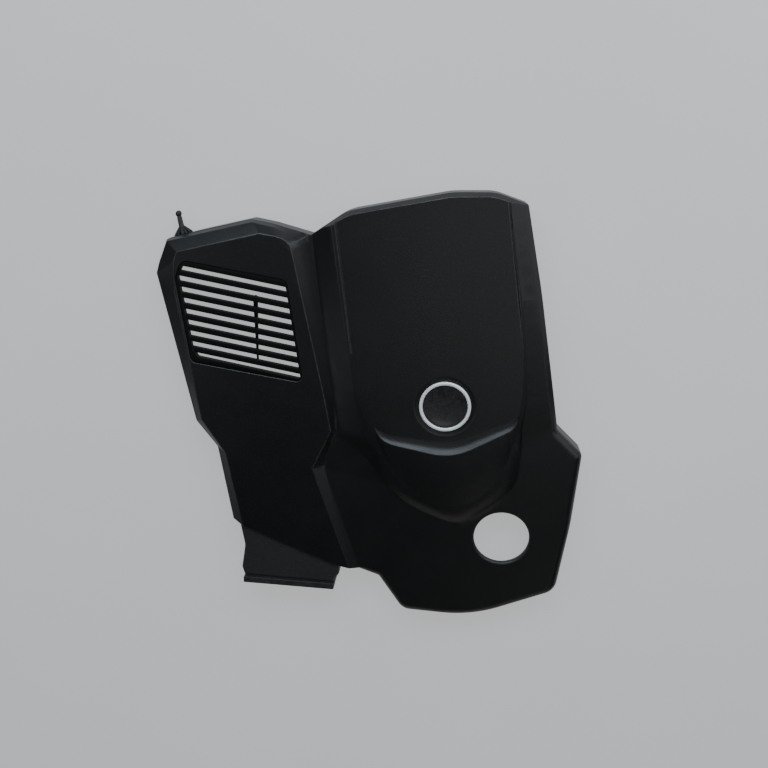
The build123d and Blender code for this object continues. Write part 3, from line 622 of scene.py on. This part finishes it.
# %% Badge
DISH_EDGE, DISH_RIM, DISH_SAG, PLATE_LOW, PLATE_HIGH = 31.5, 52.3, 1.0, 49.5, 50.9
BADGE_R, PIN_CIRCLE, PIN_LOW = 36.7, 20.0, 42.5
dish = [(DISH_EDGE * k / 12, DISH_RIM - DISH_SAG * (1 - (k / 12) ** 2)) for k in range(12)]
DISC_PROFILE = dish + [(31.2, 52.24), (DISH_EDGE, 52.0), (DISH_EDGE, PLATE_HIGH), (36.6, PLATE_HIGH)]
DISC_PROFILE += [(BADGE_R, PLATE_HIGH - 0.1), (BADGE_R, PLATE_LOW), (0, PLATE_LOW)]
pins = []
for k in range(3):
    angle = math.radians(90.0 + 120.0 * k)
    pin_top = PLATE_LOW + 0.2
    pin = turned("pin", [(0, PIN_LOW), (1.6, PIN_LOW), (2, PIN_LOW + 0.5), (2, pin_top), (0, pin_top)], 20)
    pins.append(placed(pin, at(PIN_CIRCLE * math.cos(angle), PIN_CIRCLE * math.sin(angle))))
disc_mesh = joined("badge_dish", placed(turned("disc", DISC_PROFILE, 128), at(0, 0)), *pins)
shaded(disc_mesh, 32.0)
disc = keep("badge_dish", disc_mesh, badge_gloss)
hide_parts("badge_disc")


def closed_turn(name, profile, steps):
    """A ring turned from a closed profile that keeps off the axis."""
    mesh = turned(name, profile + profile[:1], steps)
    work = bmesh.new()
    work.from_mesh(mesh)
    bmesh.ops.remove_doubles(work, verts=work.verts, dist=0.001 * MM)
    bmesh.ops.recalc_face_normals(work, faces=work.faces)
    work.to_mesh(mesh)
    work.free()
    shaded(mesh, 40.0)
    return mesh


crown = [math.radians(180.0 * k / 12) for k in range(13)]
RING_PROFILE = [(34.25 + 2.45 * math.cos(t), 52.6 + 1.7 * math.sin(t) ** 0.7) for t in crown]
RING_PROFILE += [(31.8, 50.95), (BADGE_R, 50.95)]
ring_mesh = placed(closed_turn("badge_band", RING_PROFILE, 160), at(0, 0))
ring = keep("badge_band", ring_mesh, badge_satin)
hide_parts("badge_ring")
print("badge", [round(v / MM, 1) for v in ring.dimensions], "mm")

# %% [markdown]
# ## The tail plug
# A rubber plug sits in the rear skirt. Its foot is a cone of thin ribs, and its stem ends in a small ball.
# A tree turns one rib about the axis; the stem leans a little, as soft rubber does.

# %% Plug ribs
rib_sizes = [("Count", "Int"), ("Finish", "Material")]
rib_tree, given, rib_names = new_tree("ribs_about_axis", rib_sizes)
spots = add(rib_tree, "GeometryNodeMeshLine", [(given["Count"], "Count")])
spots.inputs["Offset"].default_value = (0.0, 0.0, 0.0)
share = add(rib_tree, "ShaderNodeMath", [(given["Count"], 1)], operation="DIVIDE")
share.inputs[0].default_value = 2.0 * math.pi
index = add(rib_tree, "GeometryNodeInputIndex")
angle = add(rib_tree, "ShaderNodeMath", [(index.outputs[0], 0), (share.outputs[0], 1)], operation="MULTIPLY")
spin = add(rib_tree, "ShaderNodeCombineXYZ", [(angle.outputs[0], "Z")])
ribs = add(
    rib_tree, "GeometryNodeInstanceOnPoints",
    [(spots.outputs[0], "Points"), (given["Geometry"], "Instance"), (spin.outputs[0], "Rotation")])
close_tree(rib_tree, ribs.outputs[0], given["Finish"])

RIB = [(2.5, 0.3), (12.9, 0.3), (13.2, 0.8), (13.0, 1.6), (4.2, 11.0), (2.5, 11.0)]
RIB_HALF, RIB_REACH, RIB_COUNT = 0.95, 13.2, 14
rib_mesh = bpy.data.meshes.new("rib")
sides = [
    (r * MM, side * RIB_HALF * MM * (0.55 + 0.45 * r / RIB_REACH), z * MM) for side in (-1, 1) for r, z in RIB]
n = len(RIB)
walls = [(i, (i + 1) % n, (i + 1) % n + n, i + n) for i in range(n)]
rib_mesh.from_pydata(sides, [], [tuple(range(n))[::-1], tuple(range(n, 2 * n))] + walls)
plug_ribs = grown(rib_tree, rib_names, rib_mesh, Count=RIB_COUNT, Finish=rubber)
print("plug ribs:", len(plug_ribs.polygons), "faces")

# %% Plug
ball = [math.radians(-50 + 140.0 * k / 9) for k in range(10)]
BALL_R, BALL_HEIGHT = 4.4, 28.5
PLUG_PROFILE = [(0, -6.3), (6.6, -6.3), (7.8, -5.6), (8, -4.4), (7.6, -3.4), (4.5, -3.3), (4.5, 0.2)]
PLUG_PROFILE += [(12.6, 0.3), (12.9, 0.6), (7.4, 1.8), (6.0, 5.0)]
PLUG_PROFILE += [(4.4, 9.5), (3.7, 12.0), (3.5, 19.0), (3.3, 24.5)]
PLUG_PROFILE += [(BALL_R * math.cos(t), BALL_HEIGHT + BALL_R * math.sin(t)) for t in ball[:-1]] + [(0, 32.9)]
plug_mesh = joined("plug_moulding", turned("plug", PLUG_PROFILE, 40), plug_ribs)
LEAN, LEAN_FROM, LEAN_RUN = 1.6, 8.0, 24.5
for point in plug_mesh.vertices:
    if point.co.z > LEAN_FROM * MM:
        point.co.x += LEAN * MM * ((point.co.z / MM - LEAN_FROM) / LEAN_RUN) ** 1.4
shaded(plug_mesh, 35.0)
SKIRT_LEFT, SKIRT_RIGHT = (-361.5, 275.8), (-308.0, 281.6)
PLUG_X, PLUG_Z = -341.0, 14.2
skirt_turn = math.atan2(SKIRT_RIGHT[1] - SKIRT_LEFT[1], SKIRT_RIGHT[0] - SKIRT_LEFT[0])
plug_spot = at(PLUG_X, SKIRT_LEFT[1] + (PLUG_X - SKIRT_LEFT[0]) * math.tan(skirt_turn), PLUG_Z)
upright = Matrix.Rotation(math.radians(-90.0), 4, "X")
placed(plug_mesh, plug_spot, Matrix.Rotation(skirt_turn, 4, "Z") @ upright)
plug = keep("plug_moulding", plug_mesh, rubber)
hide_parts("tail_plug")
print("plug", [round(v / MM, 1) for v in plug.dimensions], "mm")

# %% [markdown]
# ## Floor and light
# A plain pale floor and soft boxes, as in a small studio. One lamp would leave most slopes of a black cover
# unseen, because each slope shines only towards the lamp that it mirrors. So there are seven boxes: a large
# cool one behind for the edge under the badge, two for the right flank, one above for the panel, one at the
# left for the valley, and two weak ones in front for the front edges. The floor glows a little, so that it
# stays pale, and the backdrop is pale to the eye but gives little light.

# %% Floor and light
def floor_finish():
    """Pale, matt and nearly even."""
    finish, tree, shader, coords = new_finish("floor_pale")
    cloud = ranged(tree, noise(tree, coords, 300.0, detail=3.0), 0.3, 0.7)
    tone = blended(tree, cloud, (0.19, 0.19, 0.192), (0.21, 0.21, 0.212))
    tree.links.new(tone, shader.inputs["Base Color"])
    shader.inputs["Roughness"].default_value = 0.7
    shader.inputs["Specular IOR Level"].default_value = 0.2
    shader.inputs["Emission Color"].default_value = (0.97, 0.98, 1.0, 1.0)
    shader.inputs["Emission Strength"].default_value = 0.52
    return finish


FLOOR_HALF, FLOOR_Z_MM = 6.0, -0.4
floor_mesh = bpy.data.meshes.new("floor")
corners = [(x * FLOOR_HALF, y * FLOOR_HALF, FLOOR_Z_MM * MM) for x, y in ((-1, -1), (1, -1), (1, 1), (-1, 1))]
floor_mesh.from_pydata(corners, [], [(0, 1, 2, 3)])
floor_mesh.materials.append(floor_finish())
floor = bpy.data.objects.new("floor", floor_mesh)
scene.collection.objects.link(floor)


AIM = at(-90, -20, 30)
BOX_DISTANCE = 1.6
BACKDROP_LIGHT, BACKDROP_LOOK = 0.03, 0.60


def soft_box(name, direction, size, power, tint):
    """An area light that looks at the cover's middle from a direction."""
    light = bpy.data.lights.new(name, "AREA")
    light.shape = "RECTANGLE"
    light.size, light.size_y = size
    light.energy = power
    light.color = tint
    lamp = bpy.data.objects.new(name, light)
    away = Vector(direction).normalized()
    facing = away.to_track_quat("Z", "Y").to_matrix().to_4x4()
    lamp.matrix_world = Matrix.Translation(AIM + away * BOX_DISTANCE) @ facing
    scene.collection.objects.link(lamp)


soft_box("rear_box", (0.10, 0.76, 0.65), (1.9, 0.6), 29.0, (0.77, 0.89, 1.0))
soft_box("right_box", (0.82, 0.48, 0.33), (0.9, 0.6), 6.5, (0.92, 0.96, 1.0))
soft_box("flank_box", (0.76, 0.05, 0.64), (0.8, 0.7), 3.2, (0.90, 0.95, 1.0))
soft_box("top_box", (0.20, -0.05, 0.98), (0.8, 0.8), 2.1, (1.0, 0.99, 0.98))
soft_box("left_box", (-0.75, 0.10, 0.65), (0.9, 0.6), 3.0, (0.95, 0.97, 1.0))
soft_box("front_box", (-0.10, -0.97, 0.25), (1.5, 0.4), 1.7, (1.0, 0.99, 0.97))
soft_box("fold_box", (0.25, -0.78, 0.57), (0.4, 0.3), 0.5, (1.0, 0.99, 0.97))
world = bpy.data.worlds.new("studio")
world.use_nodes = True
backdrop = world.node_tree.nodes["Background"]
backdrop.inputs["Color"].default_value = (0.80, 0.82, 0.85, 1.0)
sight = add(world.node_tree, "ShaderNodeLightPath").outputs["Is Camera Ray"]
glow = ranged(world.node_tree, sight, 0.0, 1.0, BACKDROP_LIGHT, BACKDROP_LOOK)
world.node_tree.links.new(glow, backdrop.inputs["Strength"])
scene.world = world
